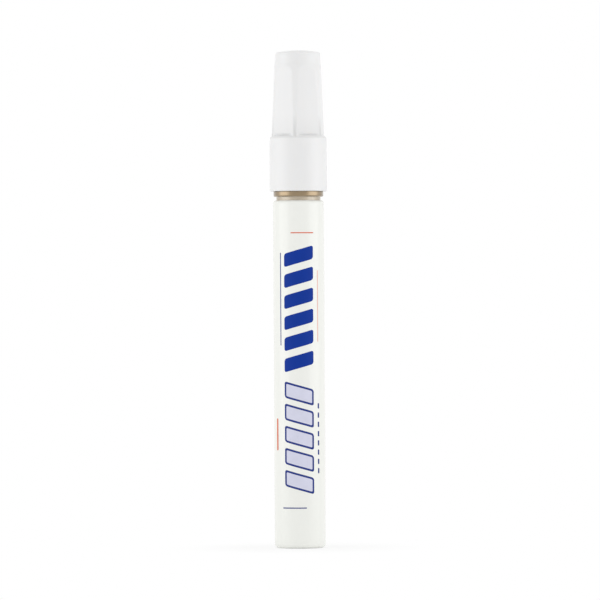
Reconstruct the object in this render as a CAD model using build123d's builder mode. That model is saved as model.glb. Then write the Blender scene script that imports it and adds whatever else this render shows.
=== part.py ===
"""Valve-action paint marker, standing on the closed end of its barrel, cap up.

Millimetres. The origin is the centre of the foot and +Z runs up the axis to the top of the cap.
"""

from math import cos, radians, sin

import os

from build123d import *

# Barrel: impact-extruded aluminium cup with its mouth rolled inward
barrel_d = 14.4
barrel_length = 97.8
barrel_wall = 0.4
barrel_floor = 0.8
barrel_inner_round = 0.8
foot_round = 1.2
foot_recess_d = 9.0
foot_recess_depth = 0.5
mouth_round = 0.9

# Clearances
press_gap = 0.05
spigot_gap = 0.1
cap_side_gap = 0.15
cap_seat_gap = 0.1
nib_gap = 0.05
nib_flow_gap = 0.3
liner_gap = 0.05
spring_end_gap = 0.05
spring_guide_gap = 0.3
ball_side_gap = 0.1
ball_wall_gap = 0.75
plunger_side_gap = 0.7
plunger_stop_gap = 0.1

# Collar ring: a groove below and a bead above
collar_wall = 0.9
collar_groove_height = 1.0
collar_bead_proud = 0.8
collar_bead_height = 1.5
collar_bead_round = 0.35

# Valve housing: plug in the barrel's mouth, neck above it
plug_length = 13.3
plug_wall = 2.15
plug_lead_in = 0.5
plug_groove_depth = 0.3
plug_groove_width = 1.4
plug_groove_pitch = 2.6
plug_groove_count = 3
plug_groove_drop = 3.0
neck_height = 5.5
neck_chamfer = 0.4
chamber_height = 11.0

# Valve: washer, plunger, spring and its retainer
seal_thickness = 0.9
plunger_flange_thickness = 1.2
plunger_stem_inset = 0.5
plunger_stroke = 1.6
plunger_chamfer = 0.3
spring_wire_d = 0.5
spring_flange_inset = 0.9
spring_turns = 6
retainer_thickness = 1.6
retainer_boss_height = 1.0
retainer_port_margin = 0.22
retainer_port_count = 6

# Nib and the holder that carries it
nib_d = 4.0
nib_length = 29.2
nib_exposure = 5.85
nib_headspace = 5.6
nib_nose_length = 4.3
nib_point_d = 2.2
nib_point_height = 0.8
nib_tail_chamfer = 0.3
holder_wall = 1.15
holder_socket_spare = 0.1
seat_height = 11.5
seat_round = 0.5
seat_groove_depth = 0.25
seat_groove_width = 1.6
seat_groove_rise = 3.0
cone_base_inset = 1.5
cone_top_step = 0.4
nib_tube_wall = 0.85
nib_tube_length = 5.0
nib_tube_chamfer = 0.3

# Cap: skirt, shoulder, six flats on the upper part, crowned top
skirt_wall = 1.5
skirt_height = 15.55
skirt_draft = 0.1
skirt_edge_round = 0.2
shoulder_round = 0.8
cap_length = 39.65
cap_rest_gap = 0.05
cap_stop_ledge = 1.13
cap_band_inset = 1.7
cap_top_wall = 2.0
flat_count = 6
flat_depth = 0.84
flat_turn = -7
flat_taper = 0.66
flat_runout_height = 2.3
flat_runout_spare = 0.04
rib_shoulder_inset = 0.1
rib_head_proud = 0.4
rib_head_drop = 1.6
band_height = 2.8
band_draft = 0.16
crown_height = 0.55
crown_edge_round = 0.5
grip_rib_count = 8
grip_rib_width = 0.8
grip_rib_gap = 0.06
grip_rib_length = 8.0
grip_rib_rise = 1.2

# Liner inside the cap
liner_wall = 0.75
liner_lip_height = 0.2
liner_lip_length = 1.2
liner_mouth_gap = 1.0
liner_flange_width = 0.7
liner_flange_thickness = 1.1
liner_roof = 1.1

# Levels and radii that follow from the sizes above
barrel_r = barrel_d / 2
bore_r = barrel_r - barrel_wall
floor_top = foot_recess_depth + barrel_floor
foot_recess_r = foot_recess_d / 2
mouth_bore_r = barrel_r - mouth_round
mouth_inner_round = mouth_round - barrel_wall
roll_start = barrel_length - mouth_round

shoulder_top = barrel_length - barrel_wall - press_gap
plug_r = bore_r - press_gap
plug_bottom = shoulder_top - plug_length
collar_groove_r = mouth_bore_r - spigot_gap
collar_bore_r = collar_groove_r - collar_wall
collar_bead_r = collar_groove_r + collar_bead_proud
collar_bead_bottom = barrel_length + collar_groove_height
collar_top = collar_bead_bottom + collar_bead_height
neck_r = collar_bore_r - press_gap
neck_bore_r = nib_d / 2 + nib_flow_gap
neck_top = collar_top + neck_height

chamber_r = plug_r - plug_wall
chamber_top = plug_bottom + chamber_height
seal_bottom = chamber_top - seal_thickness
flange_bottom = seal_bottom - plunger_flange_thickness
retainer_top = plug_bottom + retainer_thickness
retainer_r = chamber_r - press_gap
boss_top = retainer_top + retainer_boss_height
guide_bottom = boss_top + plunger_stop_gap + plunger_stroke
spring_wire_r = spring_wire_d / 2
plunger_flange_r = chamber_r - plunger_side_gap
spring_outer_r = plunger_flange_r - spring_flange_inset
spring_mean_r = spring_outer_r - spring_wire_r
spring_guide_r = spring_outer_r - spring_wire_d - spring_guide_gap
spring_start = retainer_top + spring_end_gap + spring_wire_r
spring_rise = flange_bottom - spring_end_gap - spring_wire_r - spring_start
port_circle_r = (spring_outer_r + retainer_r) / 2
port_r = (retainer_r - spring_outer_r) / 2 - retainer_port_margin

nib_r = nib_d / 2
stem_r = nib_r - plunger_stem_inset
seal_bore_r = (stem_r + plunger_flange_r) / 2
channel_r = nib_r + nib_gap
socket_r = neck_r + press_gap
socket_top = neck_top + holder_socket_spare
seat_r = socket_r + holder_wall
seat_top = collar_top + seat_height
cone_base_r = seat_r - cone_base_inset
nib_tube_r = channel_r + nib_tube_wall

cap_bottom = collar_top + cap_rest_gap
cap_top = cap_bottom + cap_length
cap_bore_r = seat_r + cap_side_gap
cap_stop = seat_top + cap_seat_gap
cap_ceiling = cap_top - cap_top_wall
skirt_r = cap_bore_r + skirt_wall
skirt_top_r = skirt_r - skirt_draft
shoulder_z = cap_bottom + skirt_height
shoulder_start = shoulder_z - shoulder_round

liner_lip_r = nib_tube_r + liner_gap
liner_bore_r = liner_lip_r + liner_lip_height
liner_r = liner_bore_r + liner_wall
liner_flange_r = liner_r + liner_flange_width
liner_top = cap_ceiling - press_gap

nib_tip = liner_top - liner_roof - nib_headspace
nib_tube_top = nib_tip - nib_exposure
cone_top = nib_tube_top - nib_tube_length
liner_bottom = cone_top + liner_mouth_gap
stem_top = nib_tip - nib_length

cavity_top_r = liner_flange_r + press_gap
cavity_base_r = cap_bore_r - cap_stop_ledge
band_r = skirt_top_r - cap_band_inset
band_top = cap_top - crown_height - crown_edge_round
band_bottom = band_top - band_height
band_bottom_r = band_r + band_draft
rib_base_r = skirt_top_r - rib_shoulder_inset
flat_base_r = rib_base_r - flat_depth
rib_head_r = band_bottom_r + rib_head_proud
rib_head_z = band_bottom - rib_head_drop
flat_head_r = flat_base_r - flat_taper
flat_head_z = band_bottom - flat_runout_height
flat_slope = flat_taper / (flat_head_z - shoulder_z)
flat_pitch = 360 / flat_count
front_angle = -90
grip_rib_inner_r = seat_r + grip_rib_gap
grip_rib_root_r = cap_bore_r + skirt_wall / 2

ball_r = (bore_r - ball_wall_gap - ball_side_gap / 2) / 2
ball_offset = ball_r + ball_side_gap / 2
ball_rest = floor_top + ball_r

os.makedirs("parts", exist_ok=True)

# Barrel
with BuildPart() as barrel:
    with BuildSketch(Plane.XZ):
        with BuildLine():
            Polyline(
                (0, floor_top),
                (0, foot_recess_depth),
                (foot_recess_r - foot_recess_depth, foot_recess_depth),
                (foot_recess_r, 0),
                (barrel_r - foot_round, 0),
            )
            CenterArc((barrel_r - foot_round, foot_round), foot_round, -90, 90)
            Line((barrel_r, foot_round), (barrel_r, roll_start))
            CenterArc((mouth_bore_r, roll_start), mouth_round, 0, 90)
            Line((mouth_bore_r, barrel_length), (mouth_bore_r, barrel_length - barrel_wall))
            CenterArc((mouth_bore_r, roll_start), mouth_inner_round, 90, -90)
            Line((bore_r, roll_start), (bore_r, floor_top + barrel_inner_round))
            CenterArc(
                (bore_r - barrel_inner_round, floor_top + barrel_inner_round),
                barrel_inner_round,
                0,
                -90,
            )
            Line((bore_r - barrel_inner_round, floor_top), (0, floor_top))
        make_face()
    revolve(axis=Axis.Z)
barrel.part.label = "barrel"
export_step(barrel.part, "parts/barrel.step")

# Valve housing: the plug's shoulder nests under the rolled mouth, the neck stands through it
with BuildPart() as valve_housing:
    with BuildSketch(Plane.XZ):
        with BuildLine():
            Polyline(
                (chamber_r, plug_bottom),
                (plug_r - plug_lead_in, plug_bottom),
                (plug_r, plug_bottom + plug_lead_in),
                (plug_r, shoulder_top - mouth_inner_round),
            )
            CenterArc(
                (plug_r - mouth_inner_round, shoulder_top - mouth_inner_round),
                mouth_inner_round,
                0,
                90,
            )
            Polyline(
                (plug_r - mouth_inner_round, shoulder_top),
                (neck_r, shoulder_top),
                (neck_r, neck_top - neck_chamfer),
                (neck_r - neck_chamfer, neck_top),
                (neck_bore_r, neck_top),
                (neck_bore_r, chamber_top),
                (chamber_r, chamber_top),
                (chamber_r, plug_bottom),
            )
        make_face()
    revolve(axis=Axis.Z)
    # Grooves that leave sealing ribs against the bore
    with BuildSketch(Plane.XZ):
        for groove in range(plug_groove_count):
            groove_z = shoulder_top - plug_groove_drop - groove * plug_groove_pitch
            with Locations((plug_r, groove_z)):
                Rectangle(2 * plug_groove_depth, plug_groove_width)
    revolve(axis=Axis.Z, mode=Mode.SUBTRACT)
valve_housing.part.label = "valve_housing"
export_step(valve_housing.part, "parts/valve_housing.step")

# Collar ring
with BuildPart() as collar_ring:
    with BuildSketch(Plane.XZ):
        with BuildLine():
            Polyline(
                (collar_bore_r, collar_top),
                (collar_bore_r, shoulder_top),
                (collar_groove_r, shoulder_top),
                (collar_groove_r, collar_bead_bottom),
                (collar_bead_r - collar_bead_round, collar_bead_bottom),
            )
            CenterArc(
                (collar_bead_r - collar_bead_round, collar_bead_bottom + collar_bead_round),
                collar_bead_round,
                -90,
                90,
            )
            Line(
                (collar_bead_r, collar_bead_bottom + collar_bead_round),
                (collar_bead_r, collar_top - collar_bead_round),
            )
            CenterArc(
                (collar_bead_r - collar_bead_round, collar_top - collar_bead_round),
                collar_bead_round,
                0,
                90,
            )
            Line((collar_bead_r - collar_bead_round, collar_top), (collar_bore_r, collar_top))
        make_face()
    revolve(axis=Axis.Z)
collar_ring.part.label = "collar_ring"
export_step(collar_ring.part, "parts/collar_ring.step")

# Valve seal: a flat washer against the roof of the chamber
with BuildPart() as valve_seal:
    with BuildSketch(Plane.XY.offset(seal_bottom)):
        Circle(retainer_r)
        Circle(seal_bore_r, mode=Mode.SUBTRACT)
    extrude(amount=seal_thickness)
valve_seal.part.label = "valve_seal"
export_step(valve_seal.part, "parts/valve_seal.step")

# Valve plunger: guide inside the spring, closing disc, stem up to the nib
with BuildPart() as valve_plunger:
    with BuildSketch(Plane.XY.offset(guide_bottom)):
        Circle(spring_guide_r)
    extrude(amount=flange_bottom - guide_bottom)
    chamfer(valve_plunger.faces().sort_by(Axis.Z)[0].edges(), length=plunger_chamfer)
    with BuildSketch(Plane.XY.offset(flange_bottom)):
        Circle(plunger_flange_r)
    extrude(amount=plunger_flange_thickness)
    with BuildSketch(Plane.XY.offset(seal_bottom)):
        Circle(stem_r)
    extrude(amount=stem_top - seal_bottom)
valve_plunger.part.label = "valve_plunger"
export_step(valve_plunger.part, "parts/valve_plunger.step")

# Valve spring: one round wire wound between the retainer and the plunger's disc
with BuildPart() as valve_spring:
    with BuildLine() as coil:
        Helix(
            pitch=spring_rise / spring_turns,
            height=spring_rise,
            radius=spring_mean_r,
            center=(0, 0, spring_start),
        )
    with BuildSketch(Plane(origin=coil.line @ 0, z_dir=coil.line % 0)):
        Circle(spring_wire_r)
    sweep(path=coil.line)
valve_spring.part.label = "valve_spring"
export_step(valve_spring.part, "parts/valve_spring.step")

# Spring retainer: a disc with a spigot for the spring and ports for the paint
with BuildPart() as spring_retainer:
    with BuildSketch(Plane.XY.offset(plug_bottom)):
        Circle(retainer_r)
        with PolarLocations(port_circle_r, retainer_port_count):
            Circle(port_r, mode=Mode.SUBTRACT)
    extrude(amount=retainer_thickness)
    with BuildSketch(Plane.XY.offset(retainer_top)):
        Circle(spring_guide_r)
    extrude(amount=retainer_boss_height)
spring_retainer.part.label = "spring_retainer"
export_step(spring_retainer.part, "parts/spring_retainer.step")

# Nib holder: socket over the neck, seat for the cap, cone, tube for the nib
with BuildPart() as nib_holder:
    with BuildSketch(Plane.XZ):
        with BuildLine():
            Polyline(
                (socket_r, collar_top),
                (seat_r, collar_top),
                (seat_r, seat_top - seat_round),
            )
            CenterArc((seat_r - seat_round, seat_top - seat_round), seat_round, 0, 90)
            Polyline(
                (seat_r - seat_round, seat_top),
                (cone_base_r, seat_top),
                (nib_tube_r + cone_top_step, cone_top),
                (nib_tube_r, cone_top),
                (nib_tube_r, nib_tube_top - nib_tube_chamfer),
                (nib_tube_r - nib_tube_chamfer, nib_tube_top),
                (channel_r, nib_tube_top),
                (channel_r, socket_top),
                (socket_r, socket_top),
                (socket_r, collar_top),
            )
        make_face()
    revolve(axis=Axis.Z)
    # Shallow groove round the seat
    with BuildSketch(Plane.XZ):
        with Locations((seat_r, collar_top + seat_groove_rise)):
            Rectangle(2 * seat_groove_depth, seat_groove_width)
    revolve(axis=Axis.Z, mode=Mode.SUBTRACT)
nib_holder.part.label = "nib_holder"
export_step(nib_holder.part, "parts/nib_holder.step")

# Nib: a fibre rod with a bullet nose
with BuildPart() as nib:
    with BuildSketch(Plane.XZ):
        with BuildLine():
            Polyline(
                (0, nib_tip),
                (0, stem_top),
                (nib_r - nib_tail_chamfer, stem_top),
                (nib_r, stem_top + nib_tail_chamfer),
                (nib_r, nib_tip - nib_nose_length),
                (nib_point_d / 2, nib_tip - nib_point_height),
            )
            TangentArc(
                (0, nib_tip),
                (nib_point_d / 2, nib_tip - nib_point_height),
                tangent=(1, 0),
            )
        make_face()
    revolve(axis=Axis.Z)
nib.part.label = "nib"
export_step(nib.part, "parts/nib.step")

# Mixing balls, side by side on the floor of the barrel
for side, ball_name in ((-1, "mixing_ball_left"), (1, "mixing_ball_right")):
    with BuildPart() as mixing_ball:
        with Locations((side * ball_offset, 0, ball_rest)):
            Sphere(ball_r)
    mixing_ball.part.label = ball_name
    export_step(mixing_ball.part, f"parts/{ball_name}.step")

# Cap shell
with BuildPart() as cap_shell:
    # Upper part: ribs' outline, round band and crown
    with BuildSketch(Plane.XZ):
        with BuildLine():
            Polyline(
                (0, cap_top),
                (0, shoulder_start),
                (rib_base_r, shoulder_start),
                (rib_base_r, shoulder_z),
                (rib_head_r, rib_head_z),
                (band_bottom_r, band_bottom),
                (band_r, band_top),
            )
            CenterArc((band_r - crown_edge_round, band_top), crown_edge_round, 0, 90)
            TangentArc(
                (0, cap_top),
                (band_r - crown_edge_round, band_top + crown_edge_round),
                tangent=(1, 0),
            )
        make_face()
    revolve(axis=Axis.Z)
    # Flats between the ribs, running out at the band
    for flat in range(flat_count):
        flat_angle = radians(front_angle + flat_turn + (flat + 1 / 2) * flat_pitch)
        outward = Vector(cos(flat_angle), sin(flat_angle), 0)
        across = Vector(sin(flat_angle), -cos(flat_angle), 0)
        with BuildSketch(Plane(origin=(0, 0, 0), x_dir=outward, z_dir=across)):
            with BuildLine():
                Polyline(
                    (flat_base_r + flat_slope * shoulder_round, shoulder_start),
                    (skirt_r, shoulder_start),
                    (skirt_r, band_bottom),
                    (band_bottom_r + flat_runout_spare, band_bottom),
                    (flat_head_r, flat_head_z),
                    close=True,
                )
            make_face()
        extrude(amount=skirt_r, both=True, mode=Mode.SUBTRACT)
    # Skirt with its rounded shoulder and lower edge
    with BuildSketch(Plane.XZ):
        with BuildLine():
            Polyline((0, shoulder_z), (0, cap_bottom), (skirt_r - skirt_edge_round, cap_bottom))
            CenterArc(
                (skirt_r - skirt_edge_round, cap_bottom + skirt_edge_round),
                skirt_edge_round,
                -90,
                90,
            )
            Line((skirt_r, cap_bottom + skirt_edge_round), (skirt_top_r, shoulder_start))
            CenterArc((skirt_top_r - shoulder_round, shoulder_start), shoulder_round, 0, 90)
            Line((skirt_top_r - shoulder_round, shoulder_z), (0, shoulder_z))
        make_face()
    revolve(axis=Axis.Z)
    # Bore over the seat, then the tapered hollow above the stop
    with BuildSketch(Plane.XZ):
        with BuildLine():
            Polyline(
                (0, cap_bottom),
                (cap_bore_r, cap_bottom),
                (cap_bore_r, cap_stop),
                (cavity_base_r, cap_stop),
                (cavity_base_r, shoulder_z),
                (cavity_top_r, cap_ceiling - liner_flange_thickness),
                (cavity_top_r, cap_ceiling),
                (0, cap_ceiling),
                close=True,
            )
        make_face()
    revolve(axis=Axis.Z, mode=Mode.SUBTRACT)
    # Grip ribs along the bore
    with BuildSketch(Plane.XY.offset(cap_bottom + grip_rib_rise)):
        with PolarLocations((grip_rib_inner_r + grip_rib_root_r) / 2, grip_rib_count):
            Rectangle(grip_rib_root_r - grip_rib_inner_r, grip_rib_width)
    extrude(amount=grip_rib_length)
cap_shell.part.label = "cap_shell"
export_step(cap_shell.part, "parts/cap_shell.step")

# Inner cap: liner tube with a lip at its mouth and a flange under the cap's roof
with BuildPart() as inner_cap:
    with BuildSketch(Plane.XZ):
        with BuildLine():
            Polyline(
                (0, liner_top),
                (0, liner_top - liner_roof),
                (liner_bore_r, liner_top - liner_roof),
                (liner_bore_r, liner_bottom + liner_lip_length),
                (liner_lip_r, liner_bottom + liner_lip_length - liner_lip_height),
                (liner_lip_r, liner_bottom + liner_lip_height),
                (liner_bore_r, liner_bottom),
                (liner_r, liner_bottom),
                (liner_r, liner_top - liner_flange_thickness),
                (liner_flange_r, liner_top - liner_flange_thickness),
                (liner_flange_r, liner_top),
                close=True,
            )
        make_face()
    revolve(axis=Axis.Z)
inner_cap.part.label = "inner_cap"
export_step(inner_cap.part, "parts/inner_cap.step")

print(f"overall height {cap_top:.2f}, skirt diameter {2 * skirt_r:.2f}")
print(f"nib tip at {nib_tip:.2f}, cap lower edge at {cap_bottom:.2f}")
print(f"room above the balls {plug_bottom - floor_top - 2 * ball_r:.2f}")
print(f"spring turns clear of each other by {spring_rise / spring_turns - spring_wire_d:.2f}")
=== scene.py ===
"""Looks of a capped paint marker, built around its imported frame.

The marker stands on the closed end of its barrel, cap up. Meshes are drafted in millimetres about the
axis of the marker and scaled to metres when they become pieces.
"""

import logging
import math
from collections.abc import Callable
from dataclasses import dataclass, replace
from enum import Enum

import bmesh
import bpy
from mathutils import Matrix, Vector


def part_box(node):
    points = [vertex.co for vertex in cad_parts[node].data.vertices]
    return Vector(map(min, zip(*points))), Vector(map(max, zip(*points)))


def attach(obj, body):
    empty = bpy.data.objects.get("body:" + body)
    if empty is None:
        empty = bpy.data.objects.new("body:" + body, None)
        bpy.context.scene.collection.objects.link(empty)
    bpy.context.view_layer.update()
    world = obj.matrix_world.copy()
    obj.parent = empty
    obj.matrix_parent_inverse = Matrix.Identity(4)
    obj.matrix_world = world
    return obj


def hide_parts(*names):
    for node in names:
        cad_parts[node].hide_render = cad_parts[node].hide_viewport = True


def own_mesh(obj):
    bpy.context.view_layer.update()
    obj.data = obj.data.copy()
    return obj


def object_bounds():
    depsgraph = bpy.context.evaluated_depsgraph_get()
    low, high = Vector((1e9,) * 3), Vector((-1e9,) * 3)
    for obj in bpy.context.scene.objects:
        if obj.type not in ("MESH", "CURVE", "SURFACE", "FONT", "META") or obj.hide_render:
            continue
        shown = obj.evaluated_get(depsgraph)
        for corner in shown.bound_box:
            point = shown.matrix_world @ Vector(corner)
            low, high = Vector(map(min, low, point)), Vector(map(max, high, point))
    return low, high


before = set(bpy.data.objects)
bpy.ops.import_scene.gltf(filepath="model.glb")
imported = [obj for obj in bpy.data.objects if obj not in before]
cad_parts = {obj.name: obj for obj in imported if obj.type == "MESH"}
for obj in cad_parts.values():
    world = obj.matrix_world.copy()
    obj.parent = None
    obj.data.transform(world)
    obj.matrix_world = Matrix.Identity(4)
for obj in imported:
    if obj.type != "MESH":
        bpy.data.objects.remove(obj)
cad_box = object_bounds()

log = logging.getLogger("paint_marker")

Draft = bmesh.types.BMesh
Tree = bpy.types.NodeTree
Node = bpy.types.Node
Socket = bpy.types.NodeSocket

MM = 0.001
FRONT = -math.pi / 2
ROUND_STEPS = 6
SHARP_ANGLE = math.radians(40)
WELD = 1e-5
HAIRLINE = 0.3
NOISE = "ShaderNodeTexNoise"
WAVE = "ShaderNodeTexWave"


def linear(code: str) -> tuple[float, float, float, float]:
    """Turns an sRGB hex colour into the linear colour that a shader takes.

    Args:
        code: Colour as "#RRGGBB".

    Returns:
        Linear red, green, blue and an alpha of 1.
    """
    channels = [int(code[place:place + 2], 16) / 255 for place in (1, 3, 5)]
    curve = [c / 12.92 if c <= 0.04045 else ((c + 0.055) / 1.055) ** 2.4 for c in channels]
    return (*curve, 1.0)


def per(size: float) -> float:
    """Gives the texture scale at which a pattern repeats every so many millimetres."""
    return 1 / (size * MM)


def add_node(
    tree: Tree,
    kind: str,
    settings: dict[str | int, object] | None = None,
    links: dict[str | int, Socket] | None = None,
) -> Node:
    """Adds one node, sets it and joins it up.

    Args:
        tree: Node tree that gets the node.
        kind: Blender's name for the kind of node.
        settings: Values by socket name, socket number or the node's own property.
        links: Sources by socket name or number.

    Returns:
        The new node.
    """
    node = tree.nodes.new(kind)
    for key, value in (settings or {}).items():
        if isinstance(key, int) or key in node.inputs:
            node.inputs[key].default_value = value
        else:
            setattr(node, key, value)
    for key, source in (links or {}).items():
        tree.links.new(source, node.inputs[key])
    return node


def reach(node: str) -> tuple[float, float, float]:
    """Gives the radius, bottom and top, in millimetres, of a CAD node that is round about the axis."""
    low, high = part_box(node)
    return high.x / MM, low.z / MM, high.z / MM


def smooth_least(first: float, second: float, width: float) -> float:
    """Takes the smaller of two values, a little lowered where they differ by less than a width."""
    share = max(width - abs(first - second), 0.0) / width
    return min(first, second) - share * share * width / 4


def pulse(distance: float, half: float, soft: float) -> float:
    """Gives 1 within half of a ridge's middle, falling smoothly to 0 over its soft flank."""
    share = min(max((half + soft - abs(distance)) / soft, 0.0), 1.0)
    return share * share * (3 - 2 * share)


def off_axis(tree: Tree) -> Socket:
    """Measures how far a point of the surface lies from the axis of the marker.

    Args:
        tree: The material's node tree.

    Returns:
        The distance in metres.
    """
    place = add_node(tree, "ShaderNodeTexCoord").outputs["Object"]
    level = add_node(tree, "ShaderNodeMapping", {"Scale": (1, 1, 0)}, {"Vector": place})
    away = add_node(tree, "ShaderNodeVectorMath", {"operation": "LENGTH"}, {0: level.outputs[0]})
    return away.outputs["Value"]


@dataclass
class Coat:
    """The shader of a material while patterns are added to it."""

    tree: Tree
    shader: Node

    def pattern(self, kind: str, settings: dict[str, object], stretch: float = 1.0) -> Socket:
        """Adds a texture that keeps its place on the marker.

        Args:
            kind: Blender's name for the texture node.
            settings: Values of the texture.
            stretch: Scale along the axis, below 1 where the pattern is drawn out.

        Returns:
            The pattern, from 0 to 1.
        """
        place = add_node(self.tree, "ShaderNodeTexCoord").outputs["Object"]
        drawn = add_node(self.tree, "ShaderNodeMapping", {"Scale": (1, 1, stretch)}, {"Vector": place})
        return add_node(self.tree, kind, settings, {"Vector": drawn.outputs[0]}).outputs["Fac"]

    def vary(
        self,
        source: Socket,
        colours: tuple[str, str] | None = None,
        roughness: tuple[float, float] | None = None,
        depth: float = 0.0,
    ) -> None:
        """Lets one pattern change the colour, the roughness and the relief.

        Args:
            source: The pattern, from 0 to 1.
            colours: Hex colours where the pattern is 0 and 1.
            roughness: Roughness where the pattern is 0 and 1.
            depth: Height of the relief in millimetres.
        """
        if colours:
            tones = {"data_type": "RGBA", 6: linear(colours[0]), 7: linear(colours[1])}
            mixed = add_node(self.tree, "ShaderNodeMix", tones, {0: source})
            self.tree.links.new(mixed.outputs[2], self.shader.inputs["Base Color"])
        if roughness:
            limits = {"To Min": roughness[0], "To Max": roughness[1]}
            ranged = add_node(self.tree, "ShaderNodeMapRange", limits, {"Value": source})
            self.tree.links.new(ranged.outputs[0], self.shader.inputs["Roughness"])
        if depth:
            heights = {"Height": source}
            for link in self.shader.inputs["Normal"].links:
                heights["Normal"] = link.from_socket
            relief = add_node(self.tree, "ShaderNodeBump", {"Distance": depth * MM}, heights)
            self.tree.links.new(relief.outputs[0], self.shader.inputs["Normal"])

    def tint(self, share: Socket, colour: str) -> None:
        """Lays one more tone over the colour.

        Args:
            share: How much of the tone shows, from 0 to 1.
            colour: The tone as a hex colour.
        """
        plain = self.shader.inputs["Base Color"].links[0].from_socket
        tone = {"data_type": "RGBA", 7: linear(colour)}
        mixed = add_node(self.tree, "ShaderNodeMix", tone, {0: share, 6: plain})
        self.tree.links.new(mixed.outputs[2], self.shader.inputs["Base Color"])


@dataclass(frozen=True)
class Finish:
    """What a surface is made of and how it was finished."""

    name: str
    colour: str
    roughness: float
    smoother: float = 0.0
    rougher: float = 0.0

    def spread(self) -> tuple[float, float]:
        """Gives the least and the greatest roughness on the surface."""
        return self.roughness - self.smoother, self.roughness + self.rougher

    def constants(self) -> dict[str, object]:
        """Gives the shader values that are the same all over the surface."""
        return {}

    def dress(self, coat: Coat) -> None:
        """Adds the patterns that vary over the surface."""
        raise NotImplementedError

    def material(self) -> bpy.types.Material:
        """Makes the finish's material the first time that it is asked for.

        Returns:
            The material.
        """
        made = bpy.data.materials.get(self.name)
        if made is None:
            made = bpy.data.materials.new(self.name)
            made.use_nodes = True
            tree = made.node_tree
            tree.nodes.clear()
            base = {"Base Color": linear(self.colour), "Roughness": self.roughness}
            shader = add_node(tree, "ShaderNodeBsdfPrincipled", base | self.constants())
            add_node(tree, "ShaderNodeOutputMaterial", None, {"Surface": shader.outputs[0]})
            self.dress(Coat(tree, shader))
        return made


# Baked enamel over drawn aluminium: a clean white gloss with a trace of orange peel
@dataclass(frozen=True)
class BakedEnamel(Finish):
    """White enamel, sprayed on the barrel and baked."""

    name: str = "baked_white_enamel"
    colour: str = "#F1F2ED"
    roughness: float = 0.2
    smoother: float = 0.03
    rougher: float = 0.04
    thin_coat: str = "#EEEFEA"
    cloud: float = 16.0
    peel: float = 0.7
    peel_depth: float = 0.0015

    def constants(self) -> dict[str, object]:
        """Gives the gloss of a baked alkyd coat."""
        return {"IOR": 1.42}

    def dress(self, coat: Coat) -> None:
        """Adds faint clouds in the coat and the orange peel of the spray.

        Args:
            coat: The material's shader.
        """
        clouds = coat.pattern(NOISE, {"Scale": per(self.cloud), "Detail": 3})
        peel = coat.pattern(NOISE, {"Scale": per(self.peel), "Detail": 1})
        coat.vary(clouds, (self.thin_coat, self.colour), self.spread())
        coat.vary(peel, depth=self.peel_depth)


# Drawn aluminium left bare under the foot: pale grey metal with rings from the press
@dataclass(frozen=True)
class DrawnAluminium(Finish):
    """Bare aluminium as it comes from the press."""

    name: str = "drawn_aluminium"
    colour: str = "#C9CBCC"
    roughness: float = 0.34
    smoother: float = 0.06
    rougher: float = 0.08
    dull: str = "#B4B6B8"
    # Coarser than real tool marks, so that the rings show
    ring_pitch: float = 0.35
    ring_depth: float = 0.004

    def constants(self) -> dict[str, object]:
        """Makes it a metal."""
        return {"Metallic": 1.0}

    def dress(self, coat: Coat) -> None:
        """Adds the rings about the axis.

        Args:
            coat: The material's shader.
        """
        rings = {"wave_type": "RINGS", "rings_direction": "Z", "Scale": per(self.ring_pitch) / math.tau}
        marks = coat.pattern(WAVE, rings | {"Distortion": 0.6})
        coat.vary(marks, (self.dull, self.colour), self.spread(), self.ring_depth)


# Gold-anodised aluminium, turned: a muted bronze gold with spread highlights, duller in its groove and
# painted paler there as though lit by the white barrel
@dataclass(frozen=True)
class GoldAnodised(Finish):
    """Aluminium, turned and anodised in gold."""

    name: str = "gold_anodised_aluminium"
    colour: str = "#876C3C"
    roughness: float = 0.34
    deep: str = "#7A6133"
    # Coarser than real turning marks, so that they show
    mark_pitch: float = 0.22
    mark_depth: float = 0.002
    # Paler tone painted into the groove as light
    painted_groove_light: str = "#BBAE98"
    dull: float = 0.7
    groove: float = 6.75
    groove_edge: float = 0.22

    def constants(self) -> dict[str, object]:
        """Makes it a metal under the clear film of oxide that the anodising grows."""
        return {"Metallic": 1.0, "Coat Weight": 1.0, "Coat Roughness": 0.3, "Coat IOR": 2.0}

    def dress(self, coat: Coat) -> None:
        """Adds the turning marks, the rough cut of the groove and a paler tone there that is painted light.

        Args:
            coat: The material's shader.
        """
        bands = {"wave_type": "BANDS", "bands_direction": "Z", "Scale": per(self.mark_pitch) / math.tau}
        marks = coat.pattern(WAVE, bands | {"Distortion": 0.8})
        coat.vary(marks, (self.deep, self.colour), depth=self.mark_depth)
        span = {"From Min": self.groove * MM, "From Max": (self.groove + self.groove_edge) * MM}
        falling = span | {"To Min": 1.0, "To Max": 0.0}
        away = off_axis(coat.tree)
        cut = add_node(coat.tree, "ShaderNodeMapRange", falling, {"Value": away}).outputs[0]
        # Painted light: the groove's tone is made paler, as though lit by the white barrel below
        coat.tint(cut, self.painted_groove_light)
        coat.vary(cut, roughness=(self.roughness, self.dull))


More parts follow.
